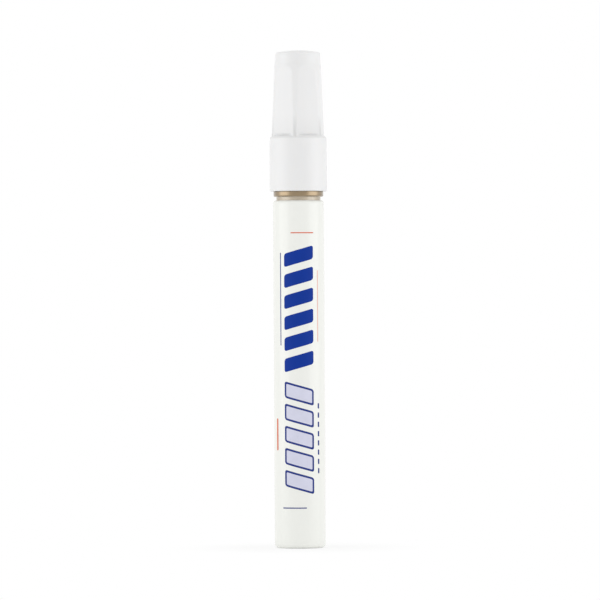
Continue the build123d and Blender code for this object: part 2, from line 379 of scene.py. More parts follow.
# Injection-moulded polypropylene: soft white with a satin sheen that hides small dents
@dataclass(frozen=True)
class MouldedPlastic(Finish):
    """Opaque plastic with the fine spark-eroded grain of its mould."""

    name: str = "moulded_white_polypropylene"
    colour: str = "#EDEDED"
    roughness: float = 0.4
    smoother: float = 0.04
    rougher: float = 0.05
    flow: str = "#E9E9E9"
    # Coarser than the mould's real grain, so that it shows
    grain: float = 0.3
    grain_depth: float = 0.0012
    flow_width: float = 5.0
    flow_stretch: float = 0.18
    glow: float = 0.12

    def constants(self) -> dict[str, object]:
        """Lets a little light scatter under the skin."""
        return {
            "IOR": 1.49,
            "Subsurface Weight": self.glow,
            "Subsurface Radius": (1.0, 0.9, 0.8),
            "Subsurface Scale": 0.6 * MM,
        }

    def dress(self, coat: Coat) -> None:
        """Adds flow marks along the axis and the grain of the mould.

        Args:
            coat: The material's shader.
        """
        flow = coat.pattern(NOISE, {"Scale": per(self.flow_width), "Detail": 2}, self.flow_stretch)
        grain = coat.pattern(NOISE, {"Scale": per(self.grain), "Detail": 2})
        coat.vary(flow, (self.flow, self.colour), self.spread())
        coat.vary(grain, depth=self.grain_depth)


# The same plastic with painted shade in the crease at its shoulder step: its satin white turns a soft grey
# towards it
@dataclass(frozen=True)
class ShoulderShadedPlastic(MouldedPlastic):
    """Moulded plastic with painted shade at the foot of its flats and ribs."""

    # Grey of the painted shade in the crease at the shoulder
    crease_shade: str = "#C9C9C9"
    shade_above_share: float = 0.15
    step: float = 0.0
    shade_rise: float = 6.0
    shade_fall: float = 0.9
    rib_radius: float = 0.0
    rib_taper: float = 0.0
    rib_edge: float = 0.14
    rib_shade_extra: float = 4.6

    def dress(self, coat: Coat) -> None:
        """Adds painted shade over the plain plastic, darkest at the step, fading slowly above it and quickly
        below it, and stronger on the proud ribs.

        Args:
            coat: The material's shader.
        """
        super().dress(coat)
        tree = coat.tree
        place = add_node(tree, "ShaderNodeTexCoord").outputs["Object"]
        height = add_node(tree, "ShaderNodeSeparateXYZ", None, {0: place}).outputs["Z"]
        upright = {"operation": "MULTIPLY_ADD", 1: self.rib_taper}
        proud = add_node(tree, "ShaderNodeMath", upright, {0: height, 2: off_axis(tree)}).outputs[0]
        crest = self.rib_radius + self.rib_taper * self.step
        ramps = [
            (height, self.step - self.shade_fall, self.step, 0.0, 1.0),
            (height, self.step, self.step + self.shade_rise, self.shade_above_share, 0.0),
            (proud, crest - self.rib_edge, crest, 1.0, self.rib_shade_extra),
        ]
        shares = []
        for source, start, end, low, high in ramps:
            span = {"From Min": start * MM, "From Max": end * MM, "To Min": low, "To Max": high}
            shares.append(add_node(tree, "ShaderNodeMapRange", span, {"Value": source}).outputs[0])
        painted_shade = shares[0]
        for share in shares[1:]:
            both = {0: painted_shade, 1: share}
            painted_shade = add_node(tree, "ShaderNodeMath", {"operation": "MULTIPLY"}, both).outputs[0]
        # Painted shade: grey laid into the crease at the shoulder step and along the foot of the ribs
        coat.tint(painted_shade, self.crease_shade)


@dataclass(frozen=True, kw_only=True)
class GrainedFinish(Finish):
    """A surface on which one grain changes the colour, the gloss and the relief together."""

    under: str
    grain: float
    detail: float
    depth: float
    stretch: float = 1.0

    def dress(self, coat: Coat) -> None:
        """Adds the grain."""
        grain = coat.pattern(NOISE, {"Scale": per(self.grain), "Detail": self.detail}, self.stretch)
        coat.vary(grain, (self.under, self.colour), self.spread(), self.depth)


# Bonded fibre, ground to a bullet: matt off-white with straws of fibre running along it
@dataclass(frozen=True)
class BondedFibre(GrainedFinish):
    """Pressed and bonded fibre rod."""

    name: str = "bonded_fibre"
    colour: str = "#F0EEE6"
    roughness: float = 0.85
    smoother: float = 0.07
    rougher: float = 0.07
    under: str = "#CFCBBE"
    # Coarser than real fibres, so that they show
    grain: float = 0.12
    detail: float = 3
    depth: float = 0.02
    stretch: float = 0.06

    def constants(self) -> dict[str, object]:
        """Gives the soft bloom of loose fibre ends."""
        return {"Sheen Weight": 0.25, "Sheen Roughness": 0.5}


# Nitrile rubber, cut from sheet: near-black and matt with a dusty bloom
@dataclass(frozen=True)
class CutRubber(GrainedFinish):
    """Sheet rubber, cut to a washer."""

    name: str = "nitrile_rubber"
    colour: str = "#3A3A3C"
    roughness: float = 0.7
    smoother: float = 0.1
    rougher: float = 0.1
    under: str = "#2C2C2E"
    grain: float = 0.8
    detail: float = 4
    depth: float = 0.003


# Hard-drawn or ground steel: bright neutral metal with fine scratches
@dataclass(frozen=True)
class BrightSteel(GrainedFinish):
    """Polished steel with fine scratches."""

    name: str = "bright_steel"
    colour: str = "#BDBEC0"
    roughness: float = 0.18
    smoother: float = 0.06
    rougher: float = 0.1
    under: str = "#A9AAAD"
    grain: float = 0.5
    detail: float = 5
    depth: float = 0.0006

    def constants(self) -> dict[str, object]:
        """Makes it a metal."""
        return {"Metallic": 1.0}


class Ink(Enum):
    """Colours of the screen print on the barrel."""

    ROYAL = "#0A3699"
    NAVY = "#2B3C86"
    PERIWINKLE = "#DCDDF0"
    CORAL = "#E47A5E"
    BLUSH = "#F2BDB2"


# Screen-print ink: flat strong colour, a touch less glossy than the enamel and a little uneven
@dataclass(frozen=True)
class PrintInk(Finish):
    """Ink pressed through a screen and cured."""

    roughness: float = 0.5
    smoother: float = 0.06
    rougher: float = 0.06
    thin: float = 0.93
    patch: float = 3.0
    # Coarser than the real screen, so that its mesh shows
    mesh_pitch: float = 0.3
    mesh_depth: float = 0.001

    @classmethod
    def of(cls, ink: Ink) -> "PrintInk":
        """Gives the finish of one ink."""
        return cls(f"screen_ink_{ink.name.lower()}", ink.value)

    def constants(self) -> dict[str, object]:
        """Keeps the gloss of the cured ink low."""
        return {"IOR": 1.45, "Specular IOR Level": 0.15}

    def dress(self, coat: Coat) -> None:
        """Adds thin patches and the print of the screen's mesh.

        Args:
            coat: The material's shader.
        """
        patches = coat.pattern(NOISE, {"Scale": per(self.patch), "Detail": 3})
        mesh = coat.pattern(NOISE, {"Scale": per(self.mesh_pitch), "Detail": 1})
        channels = [round(int(self.colour[at:at + 2], 16) * self.thin) for at in (1, 3, 5)]
        darker = "#" + "".join(f"{channel:02X}" for channel in channels)
        coat.vary(patches, (darker, self.colour), self.spread())
        coat.vary(mesh, depth=self.mesh_depth)


ENAMEL = BakedEnamel()
BARE_METAL = DrawnAluminium()
GOLD = GoldAnodised()
HOLDER_PLASTIC = MouldedPlastic("moulded_holder_polypropylene", "#EFEFEB", 0.3, flow="#E8E8E3")
LINER_PLASTIC = MouldedPlastic("natural_polyethylene", "#E6E6E0", 0.42, flow="#DDDDD6", glow=0.5)
HOUSING_PLASTIC = MouldedPlastic("natural_acetal", "#E4E2DA", 0.33, flow="#DAD8CF", glow=0.25)
PLUNGER_PLASTIC = MouldedPlastic("blue_acetal", "#6C8FB8", 0.3, flow="#6285AE")
FIBRE = BondedFibre()
RUBBER = CutRubber()
SPRING_STEEL = BrightSteel("spring_wire_steel", "#B4B5B8", 0.24)
BALL_STEEL = BrightSteel("ground_steel_ball", "#C6C7C9", 0.1)


def round_off(draft: Draft, corners: list[bmesh.types.BMVert], length: float) -> None:
    """Rounds corners of an outline or a flat shape.

    Args:
        draft: The mesh.
        corners: Its corners to round.
        length: Length that the rounding takes off each side of a corner.
    """
    bmesh.ops.bevel(
        draft,
        geom=corners,
        offset=length,
        segments=ROUND_STEPS,
        profile=0.5,
        affect="VERTICES",
        material=-1,
    )


def turn(corners: list[tuple[float, ...]], segments: int = 192, stride: float = 3.0) -> Draft:
    """Spins a closed outline about the axis.

    Args:
        corners: Radius and height of each corner in order, and for a rounded one the length that its
            rounding takes off each side.
        segments: Faces round the axis.
        stride: Longest stretch of outline without a cut, which keeps the shading even.

    Returns:
        A closed mesh with its faces pointing outwards.
    """
    draft = bmesh.new()
    verts = [draft.verts.new((radius, 0, height)) for radius, height, *_ in corners]
    for start, end in zip(verts, verts[1:] + verts[:1]):
        if start.co.x > 0 or end.co.x > 0:
            draft.edges.new((start, end))
    for (_, _, *rounding), vert in zip(corners, verts):
        if rounding:
            round_off(draft, [vert], rounding[0])
    for edge in draft.edges[:]:
        cuts = math.ceil(edge.calc_length() / stride) - 1
        if cuts:
            bmesh.ops.subdivide_edges(draft, edges=[edge], cuts=cuts)
    bmesh.ops.spin(
        draft,
        geom=draft.verts[:] + draft.edges[:],
        cent=(0, 0, 0),
        axis=(0, 0, 1),
        angle=math.tau,
        steps=segments,
        use_merge=True,
    )
    bmesh.ops.remove_doubles(draft, verts=draft.verts, dist=WELD)
    bmesh.ops.recalc_face_normals(draft, faces=draft.faces)
    return draft


def push(draft: Draft, radius_at: Callable[[float, float, float], float]) -> None:
    """Moves each vertex of a turned mesh in or out from the axis.

    Args:
        draft: The mesh.
        radius_at: New radius from the old radius, the angle from the front and the height.
    """
    for vert in draft.verts:
        radius = math.hypot(vert.co.x, vert.co.y)
        if radius > WELD:
            angle = math.remainder(math.atan2(vert.co.y, vert.co.x) - FRONT, math.tau)
            scale = radius_at(radius, angle, vert.co.z) / radius
            vert.co.x *= scale
            vert.co.y *= scale


def make_piece(
    name: str,
    draft: Draft,
    finishes: list[Finish],
    body: str,
    stands_for: str = "",
) -> bpy.types.Object:
    """Turns a drafted mesh into a piece of the marker.

    Args:
        name: Name of the piece.
        draft: Its mesh in millimetres, freed here.
        finishes: Finishes by the faces' material number.
        body: CAD body that it moves with.
        stands_for: CAD node that it replaces, if any.

    Returns:
        The piece.
    """
    bmesh.ops.scale(draft, vec=(MM, MM, MM), verts=draft.verts)
    mesh = bpy.data.meshes.new(name)
    draft.to_mesh(mesh)
    draft.free()
    mesh.shade_smooth()
    mesh.set_sharp_from_angle(angle=SHARP_ANGLE)
    for finish in finishes:
        mesh.materials.append(finish.material())
    made = bpy.data.objects.new(name, mesh)
    bpy.context.scene.collection.objects.link(made)
    made.modifiers.new("even_normals", "WEIGHTED_NORMAL").keep_sharp = True
    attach(made, body)
    if stands_for:
        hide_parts(stands_for)
    log.info("%s: %d faces, rides on %s", name, len(mesh.polygons), body)
    return made


@dataclass
class Barrel:
    """Impact-extruded aluminium cup: rounded foot with a dished recess, mouth rolled inward."""

    wall: float = 0.4
    floor: float = 0.8
    inner_round: float = 0.8
    foot_round: float = 1.2
    recess_radius: float = 4.5
    recess_depth: float = 0.5
    recess_round: float = 0.2
    rim_round: float = 0.15
    mouth_round: float = 0.9

    def build(self) -> None:
        """Makes the tube, white outside and bare in the recess of its foot."""
        radius, _, top = reach("barrel")
        bore = radius - self.wall
        lip = radius - self.mouth_round
        inside = self.recess_depth + self.floor
        corners = [
            (0, self.recess_depth),
            (self.recess_radius - self.recess_depth, self.recess_depth, self.recess_round),
            (self.recess_radius, 0, self.rim_round),
            (radius, 0, self.foot_round),
            (radius, top, self.mouth_round),
            (lip, top),
            (lip, top - self.wall),
            (bore, top - self.wall, self.mouth_round - self.wall),
            (bore, inside, self.inner_round),
            (0, inside),
        ]
        draft = turn(corners)
        for face in draft.faces:
            middle = face.calc_center_median()
            under = middle.z < inside and math.hypot(middle.x, middle.y) < self.recess_radius
            face.material_index = int(under)
        make_piece("barrel_tube", draft, [ENAMEL, BARE_METAL], "barrel", "barrel")


@dataclass(frozen=True)
class Patch:
    """A printed shape on the barrel, unrolled flat: across from the front, up from the foot."""

    across: float
    up: float
    width: float
    height: float
    slant: float = 0.0
    rounding: float = 0.0

    def within(self, rim: float) -> "Patch":
        """Gives the filling that leaves a rim of this shape showing all round.

        Args:
            rim: Width of the rim.

        Returns:
            The smaller shape.
        """
        return replace(
            self,
            width=self.width - 2 * rim,
            height=self.height - 2 * rim * math.hypot(1, self.slant),
            rounding=self.rounding / 2,
        )

    def stacked(self, count: int, pitch: float) -> list["Patch"]:
        """Repeats the shape down the barrel, from this one as the topmost."""
        return [replace(self, up=self.up - place * pitch) for place in range(count)]

    def draft(self, fineness: float) -> Draft:
        """Draws the shape.

        Args:
            fineness: Width of the strips that it is cut into, so that it can be wrapped.

        Returns:
            A flat mesh that faces up.
        """
        draft = bmesh.new()
        bmesh.ops.create_grid(draft, x_segments=1, y_segments=1, size=0.5)
        bmesh.ops.scale(draft, vec=(self.width, self.height, 1), verts=draft.verts)
        lean = Matrix(((1, 0, 0, self.across), (self.slant, 1, 0, self.up), (0, 0, 1, 0), (0, 0, 0, 1)))
        if self.rounding:
            round_off(draft, draft.verts[:], self.rounding)
        bmesh.ops.transform(draft, matrix=lean, verts=draft.verts)
        for cut in range(1, math.ceil(self.width / fineness)):
            bmesh.ops.bisect_plane(
                draft,
                geom=draft.verts[:] + draft.edges[:] + draft.faces[:],
                plane_co=(self.across - self.width / 2 + cut * fineness, 0, 0),
                plane_no=(1, 0, 0),
            )
        draft.normal_update()
        downward = [face for face in draft.faces if face.normal.z < 0]
        bmesh.ops.reverse_faces(draft, faces=downward)
        return draft


@dataclass
class BarrelPrint:
    """A plain striped print: slanted strokes above, outlined bars below, thin rules beside them."""

    film: float = 0.02
    top_film: float = 0.05
    sink: float = 0.02
    fineness: float = 0.35
    stroke: Patch = Patch(across=-0.1, up=82.0, width=8.6, height=3.8, slant=0.28, rounding=0.7)
    stroke_count: int = 6
    stroke_pitch: float = 5.9
    bar: Patch = Patch(across=-0.1, up=43.5, width=8.6, height=4.6, slant=-0.28, rounding=0.7)
    bar_count: int = 5
    bar_pitch: float = 6.2
    bar_rim: float = 0.55
    tick: Patch = Patch(across=5.9, up=40.0, width=0.55, height=1.5, rounding=0.2)
    tick_count: int = 8
    tick_pitch: float = 2.6
    side_rule: Patch = Patch(across=-5.7, up=70.0, width=HAIRLINE, height=26.0)
    foot_rule: Patch = Patch(across=-1.6, up=11.4, width=7.0, height=HAIRLINE)
    edge_rule: Patch = Patch(across=-7.4, up=32.0, width=0.7, height=9.0, rounding=0.3)
    head_rule: Patch = Patch(across=1.0, up=88.6, width=6.6, height=HAIRLINE)
    pale_rule: Patch = Patch(across=5.8, up=68.0, width=HAIRLINE, height=20.0)

    def wrap(self, patches: list[Patch], film: float) -> Draft:
        """Lays flat shapes round the barrel as a thin film of ink.

        Args:
            patches: The shapes.
            film: How far the ink stands off the enamel.

        Returns:
            One closed mesh with all of them.
        """
        radius = reach("barrel")[0]
        whole = bpy.data.meshes.new("print_layout")
        joined = bmesh.new()
        for patch in patches:
            draft = patch.draft(self.fineness)
            draft.to_mesh(whole)
            draft.free()
            joined.from_mesh(whole)
        bpy.data.meshes.remove(whole)
        bmesh.ops.translate(joined, vec=(0, 0, film), verts=joined.verts)
        bmesh.ops.solidify(joined, geom=joined.faces[:], thickness=film + self.sink)
        for vert in joined.verts:
            across, up, lift = vert.co
            angle = FRONT + across / radius
            vert.co = ((radius + lift) * math.cos(angle), (radius + lift) * math.sin(angle), up)
        bmesh.ops.recalc_face_normals(joined, faces=joined.faces)
        return joined

    def build(self) -> None:
        """Makes each colour of the print as a film of its own, the bars' fillings over the bars."""
        strokes = self.stroke.stacked(self.stroke_count, self.stroke_pitch)
        bars = self.bar.stacked(self.bar_count, self.bar_pitch)
        fills = [bar.within(self.bar_rim) for bar in bars]
        ticks = self.tick.stacked(self.tick_count, self.tick_pitch)
        layers = [
            ("print_strokes", strokes, Ink.ROYAL, self.film),
            ("print_bars", bars, Ink.NAVY, self.film),
            ("print_bar_fills", fills, Ink.PERIWINKLE, self.top_film),
            ("print_rules_navy", [self.side_rule, self.foot_rule, *ticks], Ink.NAVY, self.film),
            ("print_rules_coral", [self.edge_rule, self.head_rule], Ink.CORAL, self.film),
            ("print_rule_blush", [self.pale_rule], Ink.BLUSH, self.film),
        ]
        for name, patches, ink, film in layers:
            make_piece(name, self.wrap(patches, film), [PrintInk.of(ink)], "barrel")


@dataclass
class Collar:
    """Turned ring between barrel and cap: a groove below and a bead above."""

    wall: float = 0.9
    bead_proud: float = 0.8
    bead_height: float = 1.5
    bead_round: float = 0.35
    edge: float = 0.12
    stride: float = 0.5

    def build(self) -> None:
        """Makes the ring."""
        bead, bottom, top = reach("collar_ring")
        groove = bead - self.bead_proud
        corners = [
            (groove - self.wall, bottom),
            (groove, bottom),
            (groove, top - self.bead_height, self.edge),
            (bead, top - self.bead_height, self.bead_round),
            (bead, top, self.edge),
            (groove - self.wall, top, self.edge),
        ]
        ring = turn(corners, stride=self.stride)
        make_piece("collar_trim", ring, [GOLD], "barrel", "collar_ring")


@dataclass
class Cap:
    """Moulded cap: skirt, rounded shoulder, six flats between ribs, round band and crowned top."""

    skirt_height: float = 15.55
    skirt_draft: float = 0.1
    edge_round: float = 0.2
    mouth_round: float = 0.25
    shoulder_round: float = 0.8
    rib_inset: float = 0.1
    rib_taper: float = 0.056
    rib_blend: float = 0.15
    flat_count: int = 6
    flat_turn: float = -7.0
    flat_depth: float = 0.78
    flat_taper: float = 0.038
    flat_crown: float = 0.2
    runout_length: float = 2.3
    runout_lift: float = 0.5
    arris: float = 0.1
    crease: float = 0.08
    relief_depth: float = 0.32
    relief_height: float = 0.8
    relief_half: float = 0.55
    relief_end: float = 0.3
    band_inset: float = 1.7
    band_height: float = 2.8
    band_draft: float = 0.16
    band_flare: float = 0.25
    crown_rise: float = 0.55
    crown_round: float = 0.5
    gate_radius: float = 0.8
    gate_depth: float = 0.12
    gate_round: float = 0.06
    wall: float = 1.5
    least_wall: float = 0.5
    stop_rise: float = 11.55
    stop_ledge: float = 1.13
    stop_round: float = 0.2
    roof: float = 2.0
    roof_round: float = 0.1
    liner_gap: float = 0.05
    liner_seat: float = 1.1
    grip_count: int = 8
    grip_width: float = 0.8
    grip_flank: float = 0.15
    grip_height: float = 0.09
    grip_rise: float = 1.2
    grip_length: float = 8.0
    grip_end: float = 0.3
    arc_steps: int = 18
    ledge_steps: int = 9
    ledge_growth: float = 0.015
    flat_steps: int = 52
    crown_steps: int = 13
    gate_steps: int = 2
    segments: int = 360
    stride: float = 0.9

    def __post_init__(self) -> None:
        """Works out the levels and radii that follow from the cap's box."""
        self.skirt, self.bottom, self.top = reach("cap_shell")
        self.shoulder = self.bottom + self.skirt_height
        self.shoulder_start = self.shoulder - self.shoulder_round
        self.skirt_top = self.skirt - self.skirt_draft
        self.band = self.skirt_top - self.band_inset
        self.band_top = self.top - self.crown_rise - self.crown_round
        self.band_bottom = self.band_top - self.band_height
        self.crown_edge = self.band - self.crown_round
        self.rib_foot = self.skirt_top - self.rib_inset
        self.rib_head = self.band + self.band_draft
        self.flat_foot = self.rib_foot - self.flat_depth
        self.bore = self.skirt - self.wall
        self.ledge = self.bore - self.stop_ledge
        self.stop = self.bottom + self.stop_rise

    def rib_radius(self, height: float) -> float:
        """Gives the radius of the ribs' outline, which tapers and then draws in to the band.

        Args:
            height: Height above the foot of the marker.

        Returns:
            The radius at that height.
        """
        tapered = self.rib_foot - self.rib_taper * (height - self.shoulder)
        drawn_in = self.rib_head + self.band_flare * (self.band_bottom - height)
        return smooth_least(tapered, drawn_in, self.rib_blend)

    def shoulder_radius(self, height: float) -> float:
        """Gives the radius of the rounded shoulder.

        Args:
            height: Height above the foot of the marker.

        Returns:
            The radius at that height, 0 above the shoulder.
        """
        over = (height - self.shoulder_start) / self.shoulder_round
        if over >= 1:
            return 0.0
        return self.skirt_top - self.shoulder_round * (1 - math.sqrt(1 - over * over))

    def blank_radius(self, height: float) -> float:
        """Gives the radius at a height of the round blank that the flats are let into."""
        return max(self.rib_radius(height), self.shoulder_radius(height))

    def crown_height(self, radius: float) -> float:
        """Gives the height of the crowned top at a radius."""
        return self.top - self.crown_rise * (radius / self.crown_edge) ** 2

    def moulded_radius(self, angle: float, height: float) -> float:
        """Gives the outer radius above the skirt.

        Args:
            angle: Angle from the front, in radians.
            height: Height above the foot of the marker.

        Returns:
            The radius of the flats and ribs, or of the shoulder where that stands out further.
        """
        pitch = math.tau / self.flat_count
        off_flat = math.remainder(angle - math.radians(self.flat_turn) - pitch / 2, pitch)
        ending = max(1 - (self.band_bottom - height) / self.runout_length, 0.0)
        flat = self.flat_foot - self.flat_taper * (height - self.shoulder) + self.runout_lift * ending ** 2
        beside = math.tan(off_flat) / math.tan(pitch / 2)
        relief = self.relief_depth * pulse(height - self.shoulder, 0.0, self.relief_height)
        relief *= pulse(beside, self.relief_half, self.relief_end)
        crowned = flat / math.cos(off_flat) - self.flat_crown * beside ** 2 - relief
        upper = smooth_least(self.rib_radius(height), crowned, self.arris)
        return -smooth_least(-upper, -self.shoulder_radius(height), self.crease)

    def grip(self, angle: float, height: float) -> float:
        """Gives how far the grip ribs stand into the bore.

        Args:
            angle: Angle from the front, in radians.
            height: Height above the foot of the marker.

        Returns:
            Their height at that place, 0 between them.
        """
        beside = math.remainder(angle, math.tau / self.grip_count) * self.bore
        middle = self.bottom + self.grip_rise + self.grip_length / 2
        across = pulse(beside, self.grip_width / 2, self.grip_flank)
        return self.grip_height * across * pulse(height - middle, self.grip_length / 2, self.grip_end)

    def mould(self, radius: float, angle: float, height: float) -> float:
        """Shapes the turned blank: flats and shoulder outside, grip ribs in the bore.

        Args:
            radius: Radius of the blank.
            angle: Angle from the front, in radians.
            height: Height above the foot of the marker.

        Returns:
            The moulded radius.
        """
        if self.shoulder_start < height < self.band_bottom and radius > self.ledge + self.least_wall:
            return self.moulded_radius(angle, height)
        if radius < self.bore + WELD and height < self.stop - WELD:
            return radius - self.grip(angle, height)
        return radius

    def build(self) -> None:
        """Makes the cap and dresses it."""
        liner = reach("inner_cap")[0] + self.liner_gap
        ceiling = self.top - self.roof
        angles = [math.pi / 2 * step / self.arc_steps for step in range(1, self.arc_steps)]
        arc = [self.shoulder_start + self.shoulder_round * math.sin(angle) for angle in angles]
        ledge = [self.shoulder + self.ledge_growth * step * step for step in range(self.ledge_steps)]
        rise = self.band_bottom - ledge[-1]
        flats = [ledge[-1] + rise * step / self.flat_steps for step in range(1, self.flat_steps)]
        steps = range(self.crown_steps - 1, self.gate_steps, -1)
        crown = [self.crown_edge * step / self.crown_steps for step in steps]
        corners = [
            (self.bore, self.bottom, self.mouth_round),
            (self.skirt, self.bottom, self.edge_round),
            (self.skirt_top, self.shoulder_start),
            *[(self.blank_radius(height), height) for height in arc + ledge + flats],
            (self.rib_head, self.band_bottom),
            (self.band, self.band_top + self.crown_round, self.crown_round),
            *[(radius, self.crown_height(radius)) for radius in crown],
            (self.gate_radius, self.crown_height(self.gate_radius), self.gate_round),
            (self.gate_radius - self.gate_depth, self.top - self.gate_depth, self.gate_round),
            (0, self.top - self.gate_depth),
            (0, ceiling),
            (liner, ceiling, self.roof_round),
            (liner, ceiling - self.liner_seat),
            (self.ledge, self.shoulder),
            (self.ledge, self.stop, self.stop_round),
            (self.bore, self.stop, self.stop_round),
        ]
        draft = turn(corners, self.segments, self.stride)
        push(draft, self.mould)
        bmesh.ops.recalc_face_normals(draft, faces=draft.faces)
        # The cap's plastic carries painted shade in the crease of its shoulder
        plastic = ShoulderShadedPlastic(step=self.shoulder, rib_radius=self.rib_foot, rib_taper=self.rib_taper)
        make_piece("cap_cover", draft, [plastic], "cap", "cap_shell")


@dataclass
class Liner:
    """Soft liner tube in the cap, with a sealing lip at its mouth and a flange under the roof."""

    wall: float = 0.75
    flange_width: float = 0.7
    flange_thickness: float = 1.1
    roof: float = 1.1
    roof_round: float = 0.3
    lip: float = 0.2
    lip_length: float = 1.2
    lip_round: float = 0.08
    mouth_round: float = 0.2
    edge_round: float = 0.15
    segments: int = 128

    def build(self) -> None:
        """Makes the liner."""
        flange, bottom, top = reach("inner_cap")
        tube = flange - self.flange_width
        bore = tube - self.wall
        corners = [
            (0, top - self.roof),
            (bore, top - self.roof, self.roof_round),
            (bore, bottom + self.lip_length, self.edge_round),
            (bore - self.lip, bottom + self.lip_length - self.lip, self.lip_round),
            (bore - self.lip, bottom + self.lip, self.lip_round),
            (bore, bottom, self.lip_round),
            (tube, bottom, self.mouth_round),
            (tube, top - self.flange_thickness, self.edge_round),
            (flange, top - self.flange_thickness, self.edge_round),
            (flange, top, self.edge_round),
            (0, top),
        ]
        tube_draft = turn(corners, self.segments)
        make_piece("cap_liner", tube_draft, [LINER_PLASTIC], "cap", "inner_cap")


@dataclass
class Holder:
    """Front moulding that the cap covers: a seat for the cap, a cone and the tube round the nib."""

    wall: float = 1.15
    socket_depth: float = 5.6
    seat_height: float = 11.5
    seat_round: float = 0.5
    foot_round: float = 0.15
    groove_depth: float = 0.25
    groove_width: float = 1.6
    groove_rise: float = 3.0
    groove_round: float = 0.1
    cone_inset: float = 1.5
    cone_round: float = 0.3
    cone_step: float = 0.4
    step_round: float = 0.15
    step_crease: float = 0.12
    tube_wall: float = 0.85
    tube_length: float = 5.0
    tube_round: float = 0.3
    mouth_round: float = 0.1
    nib_gap: float = 0.05
    stride: float = 1.5

    def build(self) -> None:
        """Makes the holder."""
        seat, bottom, top = reach("nib_holder")
        channel = reach("nib")[0] + self.nib_gap
        tube = channel + self.tube_wall
        socket = seat - self.wall
        socket_top = bottom + self.socket_depth
        waist = seat - self.groove_depth
        groove_bottom = bottom + self.groove_rise - self.groove_width / 2
        groove_top = groove_bottom + self.groove_width
        seat_top = bottom + self.seat_height
        cone_top = top - self.tube_length
        corners = [
            (socket, bottom),
            (seat, bottom, self.foot_round),
            (seat, groove_bottom, self.groove_round),
            (waist, groove_bottom, self.groove_round),
            (waist, groove_top, self.groove_round),
            (seat, groove_top, self.groove_round),
            (seat, seat_top, self.seat_round),
            (seat - self.cone_inset, seat_top, self.cone_round),
            (tube + self.cone_step, cone_top, self.step_round),
            (tube, cone_top, self.step_crease),
            (tube, top, self.tube_round),
            (channel, top, self.mouth_round),
            (channel, socket_top),
            (socket, socket_top),
        ]
        moulding = turn(corners, stride=self.stride)
        make_piece(
            "nib_holder_moulding", moulding, [HOLDER_PLASTIC], "barrel", "nib_holder"
        )


@dataclass
class Nib:
    """Fibre rod with a bullet point."""

    tail_chamfer: float = 0.3
    nose_length: float = 4.3
    nose_round: float = 0.6
    point_radius: float = 1.1
    point_height: float = 0.8
    point_round: float = 0.7
    tip_radius: float = 0.495
    tip_height: float = 0.096
    tip_round: float = 0.3
    flute_count: int = 40
    flute_depth: float = 0.03
    flute_steps: int = 6
    stride: float = 0.6

    def __post_init__(self) -> None:
        """Takes the nib's size from its node."""
        self.radius, self.tail, self.tip = reach("nib")

    def fluted(self, radius: float, angle: float, _: float) -> float:
        """Gives a radius drawn in where it lies in one of the flutes between the fibres."""
        drawn = self.flute_depth / 2 * (1 + math.cos(self.flute_count * angle))
        return radius * (1 - drawn / self.radius)

    def build(self) -> None:
        """Makes the nib, its rod fluted by the fibres and its nose ground to a bullet."""
        corners = [
            (0, self.tail),
            (self.radius, self.tail, self.tail_chamfer),
            (self.radius, self.tip - self.nose_length, self.nose_round),
            (self.point_radius, self.tip - self.point_height, self.point_round),
            (self.tip_radius, self.tip - self.tip_height, self.tip_round),
            (0, self.tip),
        ]
        draft = turn(corners, self.flute_count * self.flute_steps, self.stride)
        push(draft, self.fluted)
        make_piece("nib_point", draft, [FIBRE], "nib", "nib")


@dataclass
class Valve:
    """What the barrel hides: spring, plunger, seal, housing and mixing balls."""

    wire: float = 0.5
    wire_sides: int = 12
    coil_turns: int = 6
    steps_per_turn: int = 48
    stroke: float = 1.6

    def build_spring(self) -> None:
        """Winds the spring and gives the coil a mesh of its own."""
        outer, bottom, top = reach("valve_spring")
        thick = self.wire / 2
        rise = top - bottom - self.wire
        steps = self.coil_turns * self.steps_per_turn
        draft = bmesh.new()
        start = Matrix.Translation((outer - thick, 0, bottom + thick)) @ Matrix.Rotation(math.pi / 2, 4, "X")
        bmesh.ops.create_circle(draft, cap_ends=True, segments=self.wire_sides, radius=thick, matrix=start)
        bmesh.ops.spin(
            draft,
            geom=draft.verts[:] + draft.edges[:] + draft.faces[:],
            cent=(0, 0, 0),
            axis=(0, 0, 1),
            dvec=(0, 0, rise / steps),
            angle=self.coil_turns * math.tau,
            steps=steps,
        )
        bmesh.ops.recalc_face_normals(draft, faces=draft.faces)
        coil = make_piece("spring_coil", draft, [SPRING_STEEL], "barrel", "valve_spring")
        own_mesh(coil)

    def dress_nodes(self) -> None:
        """Gives the hidden CAD nodes their finishes."""
        worn = {
            "valve_housing": HOUSING_PLASTIC,
            "valve_seal": RUBBER,
            "valve_plunger": PLUNGER_PLASTIC,
            "spring_retainer": HOUSING_PLASTIC,
            "mixing_ball_left": BALL_STEEL,
            "mixing_ball_right": BALL_STEEL,
        }
        for name, finish in worn.items():
            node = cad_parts[name]
            node.data.materials.clear()
            node.data.materials.append(finish.material())
            log.info("%s: dressed in %s", name, finish.name)

    def build(self) -> None:
        """Makes the spring and dresses the rest."""
        self.build_spring()
        self.dress_nodes()


class Side(Enum):
    """Sides of the studio as seen from the camera."""

    LEFT = -1
    RIGHT = 1


